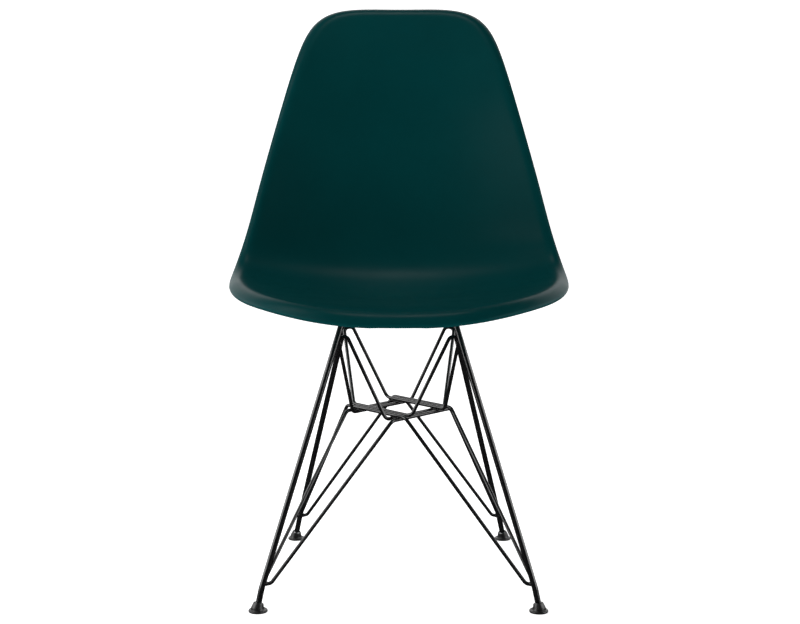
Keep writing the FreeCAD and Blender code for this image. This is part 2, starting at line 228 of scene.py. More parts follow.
def shell_plastic():
    """Dark teal polypropylene with a fine moulded grain."""
    material, tree, shader, place = new_finish("shell_plastic")
    flow = spread(tree, noise_on(tree, place, 9.0, 3.0), 0.0, 1.0)
    colour = mix_colours(tree, flow, SHELL_COLOUR, SHELL_COLOUR_LIGHT)
    handling = spread(tree, noise_on(tree, place, 24.0, 5.0, 0.6), 0.29, 0.35)
    grain = noise_on(tree, place, 1500.0, 2.0)
    ripple = noise_on(tree, place, 90.0, 2.0)
    normal = bump_from(tree, ripple, RIPPLE_DEPTH)
    normal = bump_from(tree, grain, GRAIN_DEPTH, normal)
    link_nodes(tree, colour, shader.inputs["Base Color"], handling, shader.inputs["Roughness"],
               normal, shader.inputs["Normal"])
    shader.inputs["Specular IOR Level"].default_value = SHELL_SPECULAR
    return material


SHELL_PLASTIC = shell_plastic()
print("made", SHELL_PLASTIC.name)


# %% [markdown]
# The rods are black powder coat. Powder coat flows as it cures and leaves a soft orange-peel
# skin, which breaks the highlight along a thin rod into small patches. The glides are plain
# nylon with a few scuffs, the mounts rubber with a dusty bloom, and the hardware plated steel
# with a faint cloudy patina. All of them are patches of two near colours, a roughness that
# varies and a fine grain, so one function makes them from their numbers.


# %% Base finishes
def base_finish(name, colours, patches, rough, grain, settings):
    """Patches of two colours, a varying roughness and a fine grain.

    Patches holds scale, detail and noise roughness, rough holds scale and range, and grain holds
    scale, detail and depth.
    """
    material, tree, shader, place = new_finish(name)
    share = spread(tree, noise_on(tree, place, *patches), 0.0, 1.0)
    rough_scale, rough_low, rough_high = rough
    roughness = spread(tree, noise_on(tree, place, rough_scale, 3.0), rough_low, rough_high)
    grain_scale, grain_detail, grain_depth = grain
    normal = bump_from(tree, noise_on(tree, place, grain_scale, grain_detail), grain_depth)
    link_nodes(tree, mix_colours(tree, share, *colours), shader.inputs["Base Color"],
               roughness, shader.inputs["Roughness"], normal, shader.inputs["Normal"])
    for label, value in settings.items():
        shader.inputs[label].default_value = value
    return material


def plated_metal(name, dark, bright, rough_low, rough_high):
    """Plated metal with a cloudy patina."""
    return base_finish(name, (dark, bright), (420.0, 4.0, 0.5), (900.0, rough_low, rough_high),
                       (5000.0, 1.0, 0.000006), {"Metallic": 1.0})


POWDER_COAT = base_finish(
    "frame_powder_coat", ((0.0040, 0.0040, 0.0043), (0.0070, 0.0070, 0.0074)),
    (60.0, 4.0, 0.5), (140.0, 0.18, 0.27), (620.0, 2.0, 0.00005), {"Specular IOR Level": 0.7})
NYLON = base_finish(
    "glide_nylon", ((0.0070, 0.0070, 0.0074), (0.0130, 0.0130, 0.0134)),
    (220.0, 4.0, 0.5), (500.0, 0.30, 0.42), (2400.0, 2.0, 0.000015), {})
RUBBER = base_finish(
    "mount_rubber", ((0.0110, 0.0110, 0.0110), (0.0240, 0.0235, 0.0230)),
    (300.0, 5.0, 0.65), (700.0, 0.62, 0.80), (1800.0, 2.0, 0.00003), {})
ZINC = plated_metal("screw_zinc", (0.42, 0.43, 0.45), (0.60, 0.60, 0.61), 0.26, 0.40)
BALL_STEEL = plated_metal("ball_steel", (0.34, 0.34, 0.35), (0.48, 0.48, 0.49), 0.24, 0.36)
BRASS = plated_metal("insert_brass", (0.56, 0.40, 0.16), (0.70, 0.53, 0.24), 0.28, 0.40)
print("made", [m.name for m in (POWDER_COAT, NYLON, RUBBER, ZINC, BALL_STEEL, BRASS)])

# %% [markdown]
# ## The shell
#
# A shell like this is one thin sheet with no flat place in it, so box modelling would fight the
# shape all the way. It is drawn by a rule instead. One profile runs from the front lip to the
# top edge and only says which way the surface points at each length. The width, the rise of the
# sides and the roll of the rim are smooth curves along that profile.

# %% Profile of the shell
PROFILE_LENGTH = 0.8075
PROFILE_START_Z = 0.394
HEADINGS = {"front": 4.5, "seat": -2.4, "back": 71.3, "top": 59.7}
FRONT_BLEND = 0.110
BEND_START, BEND_LENGTH = 0.1955, 0.280
LEAN_START, LEAN_LENGTH = 0.496, 0.300
PROFILE_STEPS = 1600


def ease(x):
    """Smooth step from 0 to 1 with no jump in curvature."""
    x = np.clip(x, 0.0, 1.0)
    return x * x * x * (x * (6 * x - 15) + 10)


def make_profile():
    """Arc lengths, y, z and heading along the centreline."""
    s = np.linspace(0, PROFILE_LENGTH, PROFILE_STEPS + 1)
    angle = HEADINGS["seat"] + (HEADINGS["front"] - HEADINGS["seat"]) * (1 - ease(s / FRONT_BLEND))
    angle += (HEADINGS["back"] - HEADINGS["seat"]) * ease((s - BEND_START) / BEND_LENGTH)
    angle += (HEADINGS["top"] - HEADINGS["back"]) * ease((s - LEAN_START) / LEAN_LENGTH)
    angle = np.radians(angle)
    middle = (angle[1:] + angle[:-1]) / 2
    step = PROFILE_LENGTH / PROFILE_STEPS
    y = np.concatenate([[0], np.cumsum(step * np.cos(middle))])
    z = PROFILE_START_Z + np.concatenate([[0], np.cumsum(step * np.sin(middle))])
    return s, y, z, angle


PROFILE = make_profile()
print("profile ends at y %.3f z %.3f" % (PROFILE[1][-1], PROFILE[2][-1]))

# %% Surface of the shell
HALF_WIDTHS = (0.1823, 0.2467, 0.2746, 0.2356, 0.1900, 0.1462, 0.1901)
SIDE_RISES = (0.0188, 0.0127, 0.0529, 0.0640, 0.0537, 0.0260, 0.0178)
ROLL_WIDTHS = (0.0295, 0.0320, 0.0250, 0.0108, 0.0198, 0.0332)
ROLL_TURN = math.radians(57.6)
ROLL_POWER = 3
OUTLINE_POWER = 3.88
SHELL_THICKNESS = 0.005


def along(values, t):
    """Smooth curve drawn towards a run of values, t from 0 to 1 (Bernstein form)."""
    order = len(values) - 1
    return sum(math.comb(order, i) * (1 - t) ** (order - i) * t ** i * value
               for i, value in enumerate(values))


def rim_distance(a, b):
    """About how far a place is from the outline, measured along the surface."""
    n = OUTLINE_POWER
    half_width = along(HALF_WIDTHS, (b + 1) / 2)
    reach = np.maximum((np.abs(a) ** n + np.abs(b) ** n) ** (1 / n), 1e-6)
    slope = np.hypot(np.abs(a) ** (n - 1) / half_width, np.abs(b) ** (n - 1) * 2 / PROFILE_LENGTH)
    distance = (1 - reach) * reach ** (n - 1) / np.maximum(slope, 1e-9)
    return np.where(reach < 0.1, PROFILE_LENGTH, distance)


def shell_points(a, b):
    """Upper surface at lateral place a and lengthwise place b, arrays from -1 to 1."""
    t = (b + 1) / 2
    s, y, z, angle = (np.interp(t * PROFILE_LENGTH, PROFILE[0], column) for column in PROFILE)
    width = along(ROLL_WIDTHS, t)
    share = np.clip(1 - rim_distance(a, b) / width, 0, 1)
    drop = width * math.tan(ROLL_TURN) / ROLL_POWER * share ** ROLL_POWER
    rise = along(SIDE_RISES, t) * a ** 2 - drop
    x = a * along(HALF_WIDTHS, t)
    return np.stack([x, y - np.sin(angle) * rise, z + np.cos(angle) * rise], axis=-1)


def shell_normals(a, b, step=4e-4):
    """Unit normals of the upper surface, towards the sitter."""
    a0, b0 = np.clip(a, step - 1, 1 - step), np.clip(b, step - 1, 1 - step)
    across = shell_points(a0 + step, b0) - shell_points(a0 - step, b0)
    length = shell_points(a0, b0 + step) - shell_points(a0, b0 - step)
    normal = np.cross(across, length)
    return normal / np.linalg.norm(normal, axis=-1, keepdims=True)


# The slack keeps the rounded top edge inside the construction's box.
BACK_SLACK = 0.0002
middle_line, front_and_top = np.zeros(2), np.array([-1.0, 1.0])
upper_ends = shell_points(middle_line, front_and_top)
lower_ends = upper_ends - SHELL_THICKNESS * shell_normals(middle_line, front_and_top)
SHELL_START = min(upper_ends[0, 1], lower_ends[0, 1])
SHELL_END = max(upper_ends[1, 1], lower_ends[1, 1])
MIDDLE_Y = (SHELL_START + SHELL_END) / 2 + BACK_SLACK
print("shell runs %.1f mm front to back" % (1000 * (SHELL_END - SHELL_START)))

# %% [markdown]
# The rule gives a surface with no thickness. Two copies of it, one a wall's thickness below the
# other, make the sheet. The last two millimetres before the edge are let down along a quarter
# circle on both sides, which rounds the edge like a real moulding without growing its outline.
# The grid lines crowd towards the rim, because that is where the surface turns fastest.

# %% Mesh of the shell
EDGE_ROUND = 0.0019
GRID_ACROSS, GRID_ALONG = 121, 171


def crowded(count):
    """Places from -1 to 1 that crowd towards both ends."""
    return np.sin(np.pi / 2 * np.linspace(-1, 1, count))


def outline_places():
    """The square grid moved onto the rounded outline."""
    u, v = np.meshgrid(crowded(GRID_ACROSS), crowded(GRID_ALONG), indexing="ij")
    n = OUTLINE_POWER
    return u * (1 - np.abs(v) ** n / 2) ** (1 / n), v * (1 - np.abs(u) ** n / 2) ** (1 / n)


def grid_faces(first, flip):
    """Quads of one skin of the shell, whose vertices start at a given number."""
    index = first + np.arange(GRID_ACROSS * GRID_ALONG).reshape(GRID_ACROSS, GRID_ALONG)
    corners = [index[:-1, :-1], index[1:, :-1], index[1:, 1:], index[:-1, 1:]]
    faces = np.stack([c.ravel() for c in corners], axis=-1)
    return faces[:, ::-1] if flip else faces


def border_loop():
    """Vertex numbers round the edge of one skin, in order."""
    index = np.arange(GRID_ACROSS * GRID_ALONG).reshape(GRID_ACROSS, GRID_ALONG)
    return np.concatenate([index[:-1, 0], index[-1, :-1], index[:0:-1, -1], index[0, :0:-1]])


def shell_skin():
    """Vertices and faces of the closed sheet: upper skin, lower skin and the strip between."""
    a, b = outline_places()
    points, normals = shell_points(a, b), shell_normals(a, b)
    points[..., 1] -= MIDDLE_Y
    edge = np.clip(EDGE_ROUND - rim_distance(a, b), 0, EDGE_ROUND)
    let_down = (EDGE_ROUND - np.sqrt(EDGE_ROUND ** 2 - edge ** 2))[..., None]
    upper = (points - normals * let_down).reshape(-1, 3)
    lower = (points - normals * (SHELL_THICKNESS - let_down)).reshape(-1, 3)
    loop = border_loop()
    turned_loop = np.roll(loop, -1)
    strip = np.stack([turned_loop, loop, loop + len(upper), turned_loop + len(upper)], axis=-1)
    faces = np.concatenate([grid_faces(0, False), grid_faces(len(upper), True), strip])
    return np.concatenate([upper, lower]), faces.tolist()


SKIN_POINTS, SKIN_FACES = shell_skin()
UNDERSIDE = SKIN_POINTS[len(SKIN_POINTS) // 2:]
print("shell skin has", len(SKIN_FACES), "faces")

# %% [markdown]
# Underneath, four round bosses carry the threaded inserts. A moulded boss tapers so that it
# leaves the mould, and flares where it meets the wall. It is a turned shape: a list of radii and
# heights swept once round an axis. The same helper turns the glides, washers and mounts, so it
# takes a corner count for sections that aren't round, such as the socket in a screw.


# %% Turned shapes
TURN_STEPS = 48


def ring(centre, axis, radius, corners=0):
    """Points round an axis. With corners, the ring is a polygon of that many sides."""
    turn = Vector((0, 0, 1)).rotation_difference(Vector(axis))
    points = []
    for i in range(TURN_STEPS):
        angle = 2 * math.pi * i / TURN_STEPS
        reach = radius
        if corners:
            share = 2 * math.pi / corners
            reach = radius * math.cos(share / 2) / math.cos(angle % share - share / 2)
        spoke = Vector((reach * math.cos(angle), reach * math.sin(angle), 0))
        points.append(Vector(centre) + turn @ spoke)
    return points


def skin_rings(rings, close_start=True, close_end=True):
    """Vertices and faces of the skin through rings that run upwards."""
    vertices = [p for points in rings for p in points]
    faces = []
    for k in range(len(rings) - 1):
        for i in range(TURN_STEPS):
            j = (i + 1) % TURN_STEPS
            low, high = k * TURN_STEPS, (k + 1) * TURN_STEPS
            faces.append((low + i, low + j, high + j, high + i))
    last = (len(rings) - 1) * TURN_STEPS
    for closed, first, flip in ((close_start, 0, True), (close_end, last, False)):
        if closed:
            loop = [first + i for i in range(TURN_STEPS)]
            centre = sum((vertices[v] for v in loop), Vector()) / TURN_STEPS
            vertices.append(centre)
            hub = len(vertices) - 1
            fan = [(hub, loop[i], loop[(i + 1) % TURN_STEPS]) for i in range(TURN_STEPS)]
            faces += [f[::-1] for f in fan] if flip else fan
    return vertices, faces


def turned(profile, centre=(0, 0, 0), hole=False):
    """Turned shape from (radius, height) or (radius, height, corners), bottom centre first."""
    rings = []
    for radius, height, *corners in profile:
        place = Vector(centre) + Vector((0, 0, height))
        rings.append(ring(place, (0, 0, 1), radius, *corners))
    if hole:
        rings.append(rings[0])
    return skin_rings(rings, not hole, not hole)


def rounded(radius, low, high, bevel, steps=4):
    """Outer profile of a disc from its lower to its upper edge, with round edges."""
    points = []
    for base, start in ((low + bevel, -90), (high - bevel, 0)):
        for k in range(steps + 1):
            angle = math.radians(start + 90 * k / steps)
            reach = radius - bevel + bevel * math.cos(angle)
            points.append((reach, base + bevel * math.sin(angle)))
    return points


def mesh_of(name, *solids):
    """One mesh from several (vertices, faces) pairs."""
    vertices, faces = [], []
    for points, polygons in solids:
        faces += [[v + len(vertices) for v in polygon] for polygon in polygons]
        vertices += [tuple(p) for p in points]
    mesh = bpy.data.meshes.new(name)
    mesh.from_pydata(vertices, [], faces)
    mesh.validate()
    mesh.shade_smooth()
    return mesh


print("a test washer has", len(turned(rounded(0.006, 0, 0.0016, 0.0003), hole=True)[1]), "faces")

# %% [markdown]
# ## The bent rods
#
# The base is one piece of wire work: two thick side frames and six thin wires. A wire is bent
# cold round a die, so it is made of straight runs and tangent arcs and never of free curves.
# That is just what the Fillet Curve node does to a polyline. The path is a mesh of a few
# corner points, each with the radius of its bend as an attribute, and one tree turns any such
# path into a rod.

# %% Rod tree
ROD_RADIUS = 0.004
WIRE_RADIUS = 0.0025


def rod_tree():
    """Polyline with a bend radius at each corner -> round rod."""
    tree, entry, leaving = geometry_tree("bent_rod", [
        ("Rod radius", "NodeSocketFloat", ROD_RADIUS),
        ("Arc steps", "NodeSocketInt", 14),
        ("Sides", "NodeSocketInt", 24),
    ])
    curve = add_node(tree, "GeometryNodeMeshToCurve")
    bend = add_node(tree, "GeometryNodeInputNamedAttribute", {"Name": "bend"}, data_type="FLOAT")
    fillet = add_node(tree, "GeometryNodeFilletCurve", mode="POLY")
    circle = add_node(tree, "GeometryNodeCurvePrimitiveCircle", mode="RADIUS")
    sweep = add_node(tree, "GeometryNodeCurveToMesh", {"Fill Caps": True})
    smooth = add_node(tree, "GeometryNodeSetShadeSmooth")
    wire_up(tree, (entry, "Geometry", curve, "Mesh"), (curve, "Curve", fillet, "Curve"),
            (entry, "Arc steps", fillet, "Count"), (bend, "Attribute", fillet, "Radius"),
            (entry, "Sides", circle, "Resolution"), (entry, "Rod radius", circle, "Radius"),
            (fillet, "Curve", sweep, "Curve"), (circle, "Curve", sweep, "Profile Curve"),
            (sweep, "Mesh", smooth, "Geometry"))
    finish_tree(tree, entry, leaving, smooth.outputs["Geometry"])
    return tree


ROD_TREE = rod_tree()


def rod(name, points, bends, radius, closed=False):
    """A bent rod through corner points. Bends holds one radius per inner corner."""
    count = len(points)
    mesh = bpy.data.meshes.new(name + "_path")
    edges = [(i, i + 1) for i in range(count - 1)] + ([(count - 1, 0)] if closed else [])
    mesh.from_pydata([tuple(p) for p in points], edges, [])
    radii = list(bends) if closed else [0.0, *bends, 0.0]
    mesh.attributes.new("bend", "FLOAT", "POINT").data.foreach_set("value", radii)
    return grow(name, mesh, ROD_TREE, {"Rod radius": radius, "Material": POWDER_COAT})


print("rod tree has", len(ROD_TREE.nodes), "nodes")

# %% Corners of the side frames
BALL_Z = 0.0078
FOOT_HALF = {"front": 0.1830, "rear": 0.1604}
FOOT_Y = {"front": FEET_Y, "rear": FEET_Y + 0.3595}
ANKLE = {"front": Vector((-0.0048, 0.0033, 0)), "rear": Vector((-0.0054, -0.0058, 0))}
ANKLE_Z = {"front": 0.0307, "rear": 0.0333}
TOP_HALF = {"front": 0.0753, "rear": 0.0735}
TOP_INSET = {"front": 0.1039, "rear": -0.1182}
TOP_BAR_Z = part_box("side_frame_right")[1].z - ROD_RADIUS
ANKLE_RADIUS = 0.040
TOP_CORNER_RADIUS = 0.016
ROD_SEAT_DEPTH = 0.0025
SIDES = {"left": -1, "right": 1}
ENDS = ("front", "rear")
BACKWARDS = {"front": 1, "rear": -1}


def on_side(point, side):
    """A right-hand point, mirrored for the left."""
    return Vector((point.x * SIDES[side], point.y, point.z))


def leg_corners(end):
    """Ball centre, ankle and top corner of a right-hand leg."""
    ball = Vector((FOOT_HALF[end], FOOT_Y[end], BALL_Z))
    ankle = ball + ANKLE[end]
    ankle.z = ANKLE_Z[end]
    top = Vector((TOP_HALF[end], FOOT_Y[end] + TOP_INSET[end], TOP_BAR_Z))
    return ball, ankle, top


def foot_axis(end):
    """Upward direction of the rod at a right-hand foot."""
    ball, ankle, _ = leg_corners(end)
    return (ankle - ball).normalized()


def make_side_frame(side):
    """Front foot, over the top bar and down to the rear foot."""
    corners = []
    for end in ENDS:
        ball, ankle, top = leg_corners(end)
        run = [ball - foot_axis(end) * ROD_SEAT_DEPTH, ankle, top]
        corners += run if end == "front" else run[::-1]
    bends = (ANKLE_RADIUS, TOP_CORNER_RADIUS, TOP_CORNER_RADIUS, ANKLE_RADIUS)
    return rod("frame_" + side, [on_side(p, side) for p in corners], bends, ROD_RADIUS)


side_frames = {side: make_side_frame(side) for side in SIDES}
for side, thing in side_frames.items():
    print(thing.name, len(thing.data.polygons), "faces")

# %% [markdown]
# The thin wires cross in a small lattice in the middle of the base. Two levels lie on each
# other like logs: the wires at the front left and back right are on top, the others below.
# On each side of the lattice the outer wire runs on down to two feet, and the inner wire runs
# up to the seat and arches over beside the thick legs.

# %% Lattice
LATTICE_Z = 0.2422
LATTICE_CENTRE = Vector((0, FEET_Y + 0.1698, 0))
LATTICE_HALF_WIDTH = 0.0643
LATTICE_HALF_DEPTH = 0.0784
WIRE_SPACING = 0.0136
WIRE_RUN_ON = 0.0134
WELD_BITE = 0.0002
LEVEL_STEP = 2 * WIRE_RADIUS - WELD_BITE


def crossing(start, direction, other, other_direction):
    """Where two level lines cross."""
    gap = other - start
    share = gap.cross(other_direction).z / direction.cross(other_direction).z
    return start + direction * share


def lattice_level(end, side):
    """Height of a flat of the lattice."""
    on_top = (end == "front") == (side == "left")
    return LATTICE_Z if on_top else LATTICE_Z - LEVEL_STEP


def lattice_flat(end, side, kind):
    """Bend points of one flat, the side corner first and the front or back corner second."""
    left = Vector((-LATTICE_HALF_WIDTH, 0, 0))
    front = Vector((0, -LATTICE_HALF_DEPTH, 0))
    run = (front - left).normalized()
    neighbour = Vector((run.x, -run.y, 0))
    pair = (left, front)
    if kind == "brace":
        inward = Vector((-run.y, run.x, 0)) * WIRE_SPACING
        pair = [crossing(p + inward, run, p, neighbour) for p in pair]
    pair = (pair[0] - run * WIRE_RUN_ON, pair[1] + run * WIRE_RUN_ON)
    flip_x, flip_y = -SIDES[side], BACKWARDS[end]
    level = lattice_level(end, side)
    return [LATTICE_CENTRE + Vector((p.x * flip_x, p.y * flip_y, level)) for p in pair]


print("lattice corner at", [round(1000 * c, 1) for c in lattice_flat("front", "left", "strut")[0]])

# %% Strut wires
HOOK_Z = {"front": 0.036, "rear": 0.040}
HOOK_REACH = 0.010
HOOK_RADIUS = 0.008
STRUT_BEND = 0.011


def leg_at(end, side, z):
    """Centre of a leg at a height, and its upward direction."""
    _, ankle, top = leg_corners(end)
    axis = top - ankle
    point = ankle + axis * ((z - ankle.z) / axis.z)
    return on_side(point, side), on_side(axis.normalized(), side)


def opposite(side):
    """The name of the other side."""
    return "right" if side == "left" else "left"


def hook(foot_end, foot_side, crosswise):
    """Weld point and corner of a wire's hooked end on a leg, and the direction away from it."""
    leg, _ = leg_at(foot_end, foot_side, HOOK_Z[foot_end])
    away = Vector((-SIDES[foot_side], 0, 0)) if crosswise else Vector((0, BACKWARDS[foot_end], 0))
    return leg + away * (ROD_RADIUS - WELD_BITE), leg + away * HOOK_REACH, away


def strut_hooks(end, side):
    """The two hooked ends of the strut that holds one flat, front foot first."""
    front_side = opposite(side) if end == "front" else side
    return (hook("front", front_side, end == "front"),
            hook("rear", opposite(front_side), end == "rear"))


def make_strut(end, side):
    """Front foot, one flat of the lattice, opposite rear foot."""
    front_hook, rear_hook = strut_hooks(end, side)
    flat = lattice_flat(end, side, "strut")
    flat = flat[::-1] if end == "front" else flat
    points = [front_hook[0], front_hook[1], *flat, rear_hook[1], rear_hook[0]]
    bends = (HOOK_RADIUS, STRUT_BEND, STRUT_BEND, HOOK_RADIUS)
    return rod("strut_%s_%s" % (end, side), points, bends, WIRE_RADIUS)


CORNERS = [(end, side) for side in SIDES for end in ENDS]
struts = {corner: make_strut(*corner) for corner in CORNERS}
print("struts:", [thing.name for thing in struts.values()])

# %% Brace loops
ARCH_Z = {"front": 0.350, "rear": 0.3465}
ARCH_WIDTH = 0.013
ARCH_RADIUS = 0.0068
ARCH_NESTLE = 0.00185
BRACE_BEND = 0.009


def arch_corners(end, side):
    """Inner and outer top corners of the arch beside a leg."""
    leg, axis = leg_at(end, side, ARCH_Z[end])
    towards = Vector((0, BACKWARDS[end], 0))
    away = (towards - axis * towards.dot(axis)).normalized()
    outer = leg + away * (ROD_RADIUS + WIRE_RADIUS - WELD_BITE - ARCH_NESTLE)
    return outer + Vector((-SIDES[side] * ARCH_WIDTH, 0, 0)), outer


def make_brace(name, front_flat_side):
    """Closed wire: two flats of the lattice joined over two arches."""
    other = opposite(front_flat_side)
    front_arch, rear_arch = arch_corners("front", other), arch_corners("rear", front_flat_side)
    points = [*lattice_flat("front", front_flat_side, "brace"), *front_arch,
              *lattice_flat("rear", other, "brace"), *rear_arch]
    bends = (BRACE_BEND, BRACE_BEND, ARCH_RADIUS, ARCH_RADIUS) * 2
    return rod(name, points, bends, WIRE_RADIUS, closed=True)


braces = {"brace_loop_high": make_brace("brace_high", "left"),
          "brace_loop_low": make_brace("brace_low", "right")}
print("braces:", [thing.name for thing in braces.values()])

# %% [markdown]
# ## Welds
#
# Where two wires touch, the coat runs over a small bead of weld metal. A bead is the same shape
# every time, only turned and stretched, so it is a case for instances: one lump on many points.
# The points carry their turn and size as attributes, and after the instances are made real a
# little noise in world space makes every bead its own.


# %% Weld tree
def weld_tree():
    """Points with a turn and a size -> lumpy beads."""
    tree, entry, leaving = geometry_tree("weld_beads", [
        ("Lump height", "NodeSocketFloat", 0.00022),
        ("Lump scale", "NodeSocketFloat", 620.0),
    ])
    turn, size = [add_node(tree, "GeometryNodeInputNamedAttribute", {"Name": label},
                           data_type="FLOAT_VECTOR") for label in ("turn", "size")]
    points = add_node(tree, "GeometryNodeMeshToPoints")
    lump = add_node(tree, "GeometryNodeMeshIcoSphere", {"Radius": 1.0, "Subdivisions": 4})
    place = add_node(tree, "GeometryNodeInstanceOnPoints")
    real = add_node(tree, "GeometryNodeRealizeInstances")
    noise = add_node(tree, "ShaderNodeTexNoise", {"Detail": 2.0})
    centred = add_node(tree, "ShaderNodeMath", {1: 0.5}, operation="SUBTRACT")
    height = add_node(tree, "ShaderNodeMath", operation="MULTIPLY")
    normal = add_node(tree, "GeometryNodeInputNormal")
    offset = add_node(tree, "ShaderNodeVectorMath", operation="SCALE")
    shift = add_node(tree, "GeometryNodeSetPosition")
    smooth = add_node(tree, "GeometryNodeSetShadeSmooth")
    wire_up(tree, (entry, "Geometry", points, "Mesh"), (points, "Points", place, "Points"),
            (lump, "Mesh", place, "Instance"), (turn, "Attribute", place, "Rotation"),
            (size, "Attribute", place, "Scale"), (place, "Instances", real, "Geometry"),
            (entry, "Lump scale", noise, "Scale"), (noise, "Fac", centred, 0),
            (centred, "Value", height, 0), (entry, "Lump height", height, 1),
            (normal, "Normal", offset, 0), (height, "Value", offset, "Scale"),
            (real, "Geometry", shift, "Geometry"), (offset, "Vector", shift, "Offset"),
            (shift, "Geometry", smooth, "Geometry"))
    finish_tree(tree, entry, leaving, smooth.outputs["Geometry"])
    return tree


WELD_TREE = weld_tree()


def weld_beads(name, beads):
    """Beads as (centre, long direction, (length, width, height) half sizes)."""
    mesh = bpy.data.meshes.new(name + "_points")
    mesh.from_pydata([tuple(centre) for centre, _, _ in beads], [], [])
    turns = [Vector((1, 0, 0)).rotation_difference(Vector(way)).to_euler() for _, way, _ in beads]
    for label, triples in (("turn", turns), ("size", [half for _, _, half in beads])):
        attribute = mesh.attributes.new(label, "FLOAT_VECTOR", "POINT")
        attribute.data.foreach_set("vector", [part for triple in triples for part in triple])
    return grow(name, mesh, WELD_TREE, {"Material": POWDER_COAT})


print("weld tree has", len(WELD_TREE.nodes), "nodes")

# %% Screw places
SCREW_INSET = 0.017
SCREW_OFFSET = 0.011


def screw_place(end, side):
    """Screw axis at the height of the top bars."""
    front, rear = leg_corners("front")[2], leg_corners("rear")[2]
    y = front.y + SCREW_INSET if end == "front" else rear.y - SCREW_INSET
    x = front.x + (rear.x - front.x) * (y - front.y) / (rear.y - front.y) - SCREW_OFFSET
    return on_side(Vector((x, y, TOP_BAR_Z)), side)


SCREW_PLACES = {corner: screw_place(*corner) for corner in CORNERS}
for corner, place in SCREW_PLACES.items():
    print(corner, [round(1000 * c, 1) for c in place])

# %% Weld places
PLATE_LOW_Z = TOP_BAR_Z + ROD_RADIUS
CROSS_BEAD = (0.0024, 0.0024, 0.0017)
HOOK_BEAD = (0.0022, 0.0031, 0.0031)
ARCH_BEAD = (0.0075, 0.0018, 0.0018)
PLATE_BEAD = (0.0085, 0.0013, 0.0010)
PLATE_BEAD_DROP, PLATE_BEAD_SHARE = 0.0005, 0.6


def lattice_beads():
    """A bead at every crossing of a top wire and a bottom wire."""
    beads = []
    level = LATTICE_Z - LEVEL_STEP / 2
    for top_corner in (("front", "left"), ("rear", "right")):
        for low_corner in (("front", "right"), ("rear", "left")):
            for top_kind in ("strut", "brace"):
                for low_kind in ("strut", "brace"):
                    a, b = lattice_flat(*top_corner, top_kind)
                    c, d = lattice_flat(*low_corner, low_kind)
                    place = crossing(a, b - a, c, d - c)
                    beads.append((Vector((place.x, place.y, level)), (1, 0, 0), CROSS_BEAD))
    return beads


def leg_beads():
    """Beads where hooks and arches meet the legs."""
    beads = []
    for corner in CORNERS:
        for weld, _, away in strut_hooks(*corner):
            beads.append((weld + away * HOOK_BEAD[0] / 3, away, HOOK_BEAD))
        end, side = corner
        leg, axis = leg_at(end, side, ARCH_Z[end] - ARCH_RADIUS - ARCH_BEAD[0] / 2)
        outer = arch_corners(end, side)[1]
        towards = (outer - leg) - axis * (outer - leg).dot(axis)
        beads.append((leg + towards.normalized() * ROD_RADIUS, axis, ARCH_BEAD))
    return beads


def plate_beads():
    """Two beads along the bar under each plate."""
    beads = []
    for (end, side), place in SCREW_PLACES.items():
        bar_x = place.x + SIDES[side] * SCREW_OFFSET
        for share in (-PLATE_BEAD_SHARE, PLATE_BEAD_SHARE):
            centre = Vector((bar_x + share * ROD_RADIUS, place.y, PLATE_LOW_Z - PLATE_BEAD_DROP))
            beads.append((centre, (0, 1, 0), PLATE_BEAD))
    return beads


welds = weld_beads("welds", lattice_beads() + leg_beads() + plate_beads())
print("welds:", len(welds.data.polygons), "faces")

# %% [markdown]
# ## Mounts, washers and screws
#
# Four rubber mounts sit between the steel plates and the bosses of the shell. Each takes a screw
# from below. One screw, one washer and one mount are turned once and then placed at the four
# corners by a tree with an instance on each point.


# %% Copies tree
def copies_tree():
    """Points -> copies of one turned piece."""
    tree, entry, leaving = geometry_tree("copies", [("Piece", "NodeSocketObject", None)])
    points = add_node(tree, "GeometryNodeMeshToPoints")
    piece = add_node(tree, "GeometryNodeObjectInfo")
    place = add_node(tree, "GeometryNodeInstanceOnPoints")
    wire_up(tree, (entry, "Geometry", points, "Mesh"), (points, "Points", place, "Points"),
            (entry, "Piece", piece, "Object"), (piece, "Geometry", place, "Instance"))
    finish_tree(tree, entry, leaving, place.outputs["Instances"])
    return tree


COPIES_TREE = copies_tree()


def copies(name, piece_mesh, places, material):
    """Copies of a piece at several places, as one plain object."""
    pattern = show(name + "_pattern", piece_mesh)
    mesh = bpy.data.meshes.new(name + "_points")
    mesh.from_pydata([tuple(p) for p in places], [], [])
    result = grow(name, mesh, COPIES_TREE, {"Piece": pattern, "Material": material})
    bpy.data.objects.remove(pattern)
    return result


print("copies tree has", len(COPIES_TREE.nodes), "nodes")

# %% Turned hardware
PLATE_THICKNESS = 0.0025
MOUNT_RADIUS, MOUNT_HEIGHT = 0.012, 0.008
MOUNT_LOW_Z = PLATE_LOW_Z + PLATE_THICKNESS
BOSS_LOW_Z = MOUNT_LOW_Z + MOUNT_HEIGHT
HOLE_RADIUS = 0.0033
WASHER_RADIUS, WASHER_THICKNESS = 0.0063, 0.0016
HEAD_RADIUS, HEAD_HEIGHT = 0.00575, 0.0036
SOCKET_RADIUS, SOCKET_DEPTH = 0.0023, 0.0022
THREAD_RADIUS, THREAD_LENGTH, THREAD_PITCH, THREAD_DEPTH = 0.003, 0.017, 0.001, 0.0005
MOUNT_WAIST, MOUNT_BEVEL, WASHER_BEVEL = 0.0009, 0.0008, 0.0003
HEAD_CROWN, HEAD_BEVEL, HEAD_EDGE_POINTS = 0.0024, 0.0011, 5
TRACE = 0.0001


def ring_piece(outer, low, high):
    """Turned ring: bottom of the hole, outside, top of the hole."""
    return turned([(HOLE_RADIUS, low), *outer, (HOLE_RADIUS, high)], hole=True)


